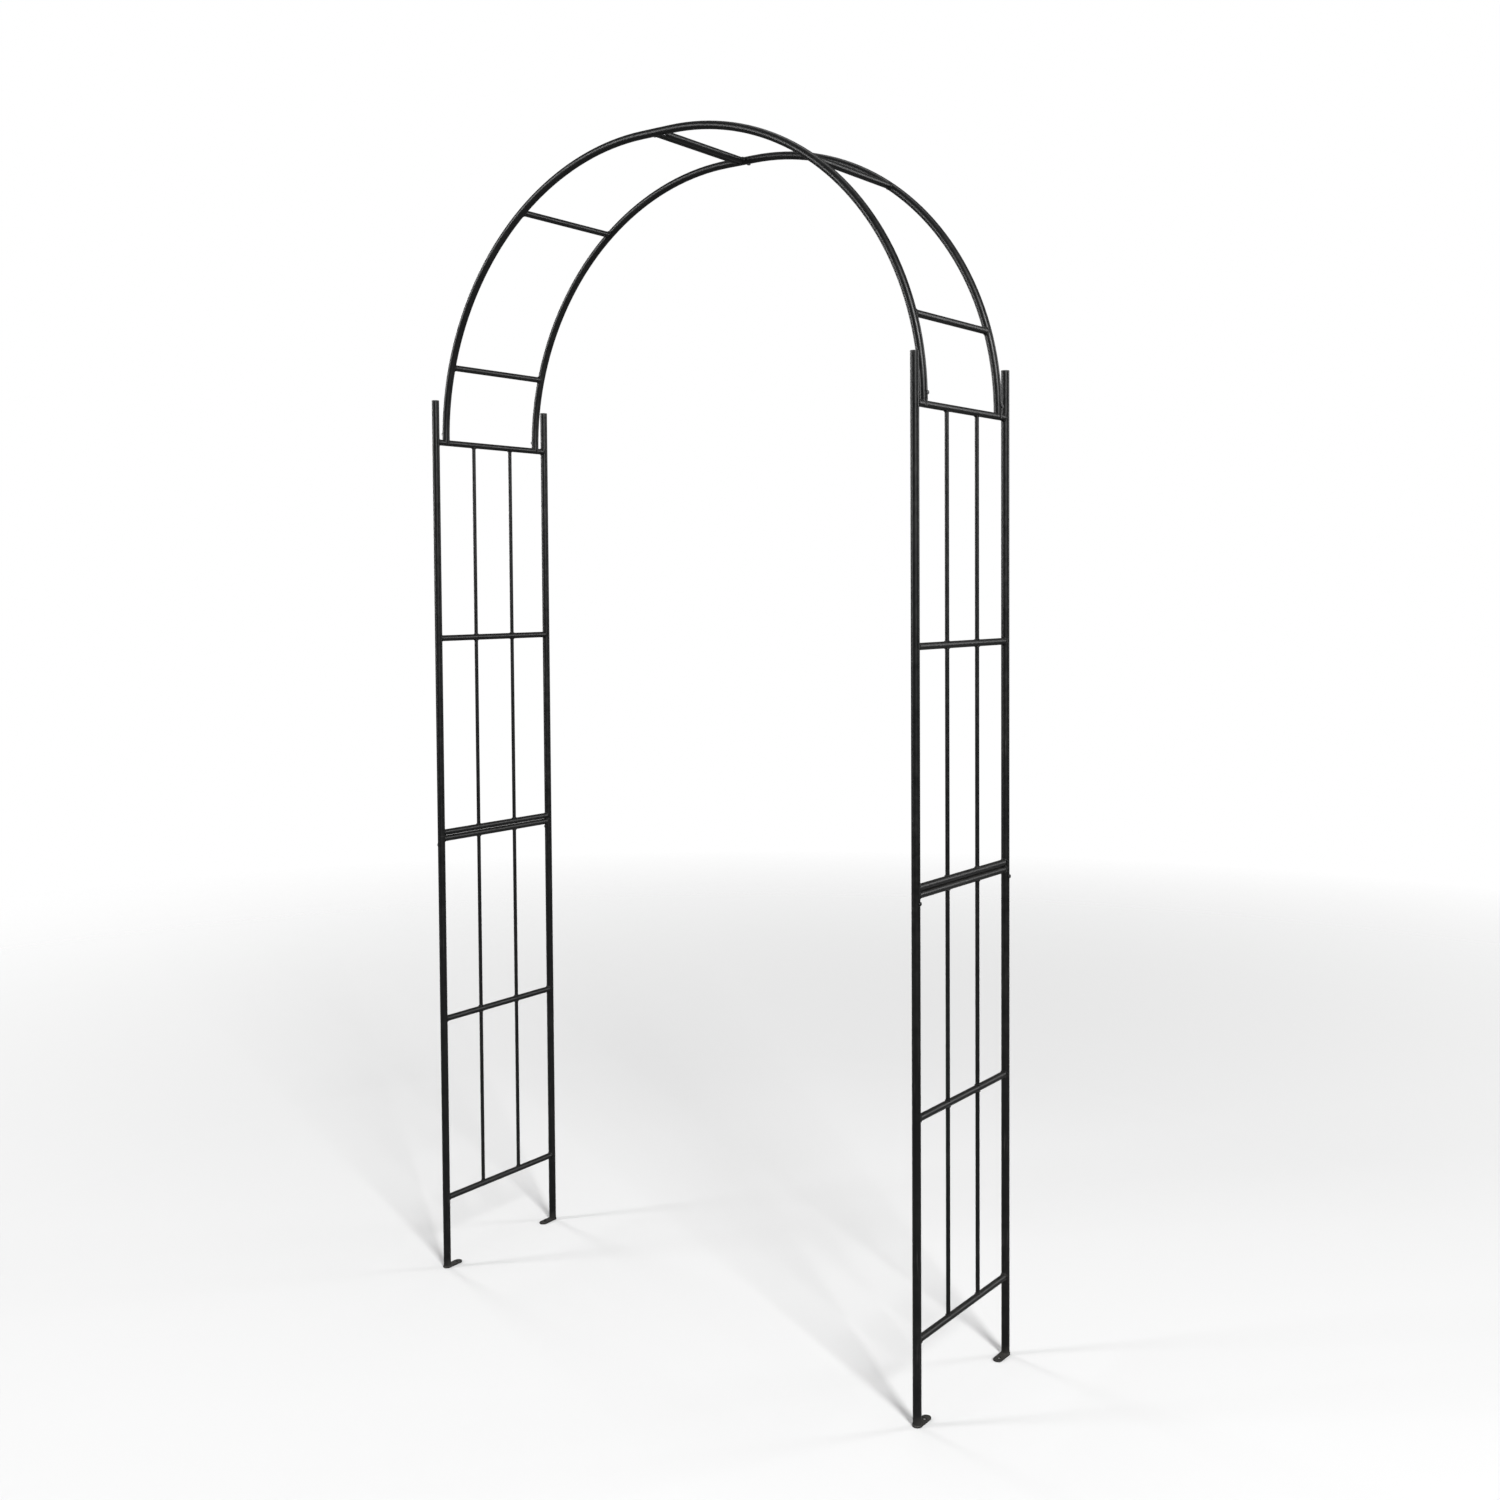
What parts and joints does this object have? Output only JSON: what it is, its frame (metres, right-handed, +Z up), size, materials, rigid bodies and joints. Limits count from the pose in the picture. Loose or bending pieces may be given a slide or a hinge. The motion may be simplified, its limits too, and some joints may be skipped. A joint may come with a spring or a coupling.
{
  "type": "garden trellis arch",
  "caption": "Free-standing round-top garden arch of black tube: two ladder side panels with upright rods, two bent hoops joined by rungs, and drilled foot tabs.",
  "frame": {"origin": "on the ground, in the middle of the four feet", "axes": "+X across the walkway towards the right panel, +Y through the arch from front to rear, +Z up"},
  "size_m": [1.2208, 0.358, 2.4],
  "materials": {
    "black_powder_coat": "satin black powder coat on steel",
    "cap_plastic": "matt moulded",
    "plated_steel": "zinc plated",
    "screw_steel": "black plated"
  },
  "bodies": {
    "root": {"left_front_lower_post": "black_powder_coat", "left_front_upper_post": "black_powder_coat", "left_front_foot_plate": "black_powder_coat", "left_front_post_cap": "cap_plastic", "left_front_joint_spigot": "plated_steel", "left_front_hoop_spigot": "plated_steel", "left_rear_lower_post": "black_powder_coat", "left_rear_upper_post": "black_powder_coat", "left_rear_foot_plate": "black_powder_coat", "left_rear_post_cap": "cap_plastic", "left_rear_joint_spigot": "plated_steel", "left_rear_hoop_spigot": "plated_steel", "left_lower_bottom_bar": "black_powder_coat", "left_lower_middle_bar": "black_powder_coat", "left_lower_top_bar": "black_powder_coat", "left_lower_rod_1": "black_powder_coat", "left_lower_rod_2": "black_powder_coat", "left_upper_bottom_bar": "black_powder_coat", "left_upper_middle_bar": "black_powder_coat", "left_upper_top_bar": "black_powder_coat", "left_upper_rod_1": "black_powder_coat", "left_upper_rod_2": "black_powder_coat", "right_front_lower_post": "black_powder_coat", "right_front_upper_post": "black_powder_coat", "right_front_foot_plate": "black_powder_coat", "right_front_post_cap": "cap_plastic", "right_front_joint_spigot": "plated_steel", "right_front_hoop_spigot": "plated_steel", "right_rear_lower_post": "black_powder_coat", "right_rear_upper_post": "black_powder_coat", "right_rear_foot_plate": "black_powder_coat", "right_rear_post_cap": "cap_plastic", "right_rear_joint_spigot": "plated_steel", "right_rear_hoop_spigot": "plated_steel", "right_lower_bottom_bar": "black_powder_coat", "right_lower_middle_bar": "black_powder_coat", "right_lower_top_bar": "black_powder_coat", "right_lower_rod_1": "black_powder_coat", "right_lower_rod_2": "black_powder_coat", "right_upper_bottom_bar": "black_powder_coat", "right_upper_middle_bar": "black_powder_coat", "right_upper_top_bar": "black_powder_coat", "right_upper_rod_1": "black_powder_coat", "right_upper_rod_2": "black_powder_coat", "left_front_hoop": "black_powder_coat", "right_front_hoop": "black_powder_coat", "front_crown_sleeve": "plated_steel", "left_rear_hoop": "black_powder_coat", "right_rear_hoop": "black_powder_coat", "rear_crown_sleeve": "plated_steel", "left_rung_1": "black_powder_coat", "left_rung_2": "black_powder_coat", "left_rung_3": "black_powder_coat", "right_rung_1": "black_powder_coat", "right_rung_2": "black_powder_coat", "right_rung_3": "black_powder_coat", "post_screws": "screw_steel", "hoop_screws": "screw_steel", "crown_screws": "screw_steel"}
  },
  "joints": []
}
